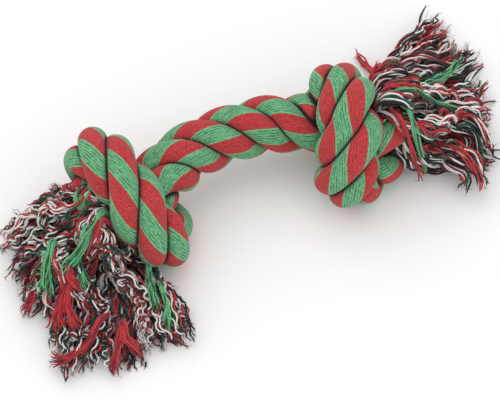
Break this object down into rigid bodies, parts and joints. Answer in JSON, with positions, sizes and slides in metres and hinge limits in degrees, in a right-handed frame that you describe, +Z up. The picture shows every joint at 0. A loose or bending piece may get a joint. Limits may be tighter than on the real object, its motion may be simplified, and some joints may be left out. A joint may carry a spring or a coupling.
{
  "type": "rope dog toy",
  "caption": "Rope tug toy for dogs: three-strand laid rope in red and green, an overhand knot near each end, the ends unlaid into mixed-yarn tassels.",
  "frame": {"origin": "middle of the bounding box at the surface that the toy lies on", "axes": "+Z up from the surface, +X along the toy's length from the larger tassel's end to the other, +Y away from the side it was pictured from"},
  "size_m": [0.2314, 0.1912, 0.0591],
  "materials": {
    "red_cover_yarn": "matte twisted cotton; each strand's cover is half red and half green",
    "green_cover_yarn": "matte twisted cotton; each strand's cover is half red and half green",
    "light_core_yarn": "matte combed-out cotton core yarn, cream mixed with red",
    "dark_core_yarn": "matte combed-out cotton core yarn, near black mixed with dark green"
  },
  "bodies": {
    "left_knot": {"strand_1_left_knot": "red_cover_yarn", "strand_2_left_knot": "green_cover_yarn", "strand_3_left_knot": "red_cover_yarn"},
    "middle_left": {"strand_1_middle_left": "green_cover_yarn", "strand_2_middle_left": "red_cover_yarn", "strand_3_middle_left": "green_cover_yarn"},
    "middle_right": {"strand_1_middle_right": "red_cover_yarn", "strand_2_middle_right": "green_cover_yarn", "strand_3_middle_right": "red_cover_yarn"},
    "right_knot": {"strand_1_right_knot": "green_cover_yarn", "strand_2_right_knot": "red_cover_yarn", "strand_3_right_knot": "green_cover_yarn"},
    "left_tassel": {"left_lock_1": "light_core_yarn", "left_lock_2": "light_core_yarn", "left_lock_3": "dark_core_yarn", "left_lock_4": "dark_core_yarn", "left_lock_5": "light_core_yarn", "left_lock_6": "light_core_yarn", "left_lock_7": "dark_core_yarn", "left_lock_8": "dark_core_yarn", "left_lock_9": "light_core_yarn", "left_lock_10": "light_core_yarn", "left_lock_11": "dark_core_yarn", "left_lock_12": "dark_core_yarn", "left_red_strip_1": "red_cover_yarn", "left_red_strip_2": "red_cover_yarn", "left_red_strip_3": "red_cover_yarn", "left_green_strip_1": "green_cover_yarn", "left_green_strip_2": "green_cover_yarn", "left_green_strip_3": "green_cover_yarn"},
    "right_tassel": {"right_lock_1": "light_core_yarn", "right_lock_2": "light_core_yarn", "right_lock_3": "dark_core_yarn", "right_lock_4": "dark_core_yarn", "right_lock_5": "light_core_yarn", "right_lock_6": "light_core_yarn", "right_lock_7": "dark_core_yarn", "right_lock_8": "dark_core_yarn", "right_lock_9": "light_core_yarn", "right_lock_10": "light_core_yarn", "right_lock_11": "dark_core_yarn", "right_lock_12": "dark_core_yarn", "right_red_strip_1": "red_cover_yarn", "right_red_strip_2": "red_cover_yarn", "right_red_strip_3": "red_cover_yarn", "right_green_strip_1": "green_cover_yarn", "right_green_strip_2": "green_cover_yarn", "right_green_strip_3": "green_cover_yarn"}
  },
  "joints": [
    {"name": "left_swing", "type": "hinge", "parent": "left_knot", "child": "middle_left", "pos_m": [-0.04095, 0.00318, 0.02704], "axis": [0, 0, 1], "range_deg": [-25, 25], "deforming": ["strand_1_middle_left", "strand_2_middle_left", "strand_3_middle_left"]},
    {"name": "rope_lift", "type": "hinge", "parent": "middle_left", "child": "middle_right", "pos_m": [-0.00964, 0.02329, 0.027], "axis": [0.3699, -0.9291, 0], "range_deg": [0, 40]},
    {"name": "right_swing", "type": "hinge", "parent": "middle_right", "child": "right_knot", "pos_m": [0.02457, 0.02917, 0.02722], "axis": [0, 0, 1], "range_deg": [-25, 25], "deforming": ["strand_1_middle_right", "strand_2_middle_right", "strand_3_middle_right"]},
    {"name": "left_tassel_lift", "type": "hinge", "parent": "left_knot", "child": "left_tassel", "pos_m": [-0.07224, -0.02017, 0.02622], "axis": [-0.9336, 0.3584, 0], "range_deg": [0, 50], "deforming": ["left_lock_1", "left_lock_2", "left_lock_3", "left_lock_4", "left_lock_5", "left_lock_6", "left_lock_7", "left_lock_8", "left_lock_9", "left_lock_10", "left_lock_11", "left_lock_12", "left_red_strip_1", "left_red_strip_2", "left_red_strip_3", "left_green_strip_1", "left_green_strip_2", "left_green_strip_3"]},
    {"name": "right_tassel_lift", "type": "hinge", "parent": "right_knot", "child": "right_tassel", "pos_m": [0.06258, 0.02991, 0.03375], "axis": [0.4848, -0.8746, 0], "range_deg": [0, 50], "deforming": ["right_lock_1", "right_lock_2", "right_lock_3", "right_lock_4", "right_lock_5", "right_lock_6", "right_lock_7", "right_lock_8", "right_lock_9", "right_lock_10", "right_lock_11", "right_lock_12", "right_red_strip_1", "right_red_strip_2", "right_red_strip_3", "right_green_strip_1", "right_green_strip_2", "right_green_strip_3"]}
  ]
}
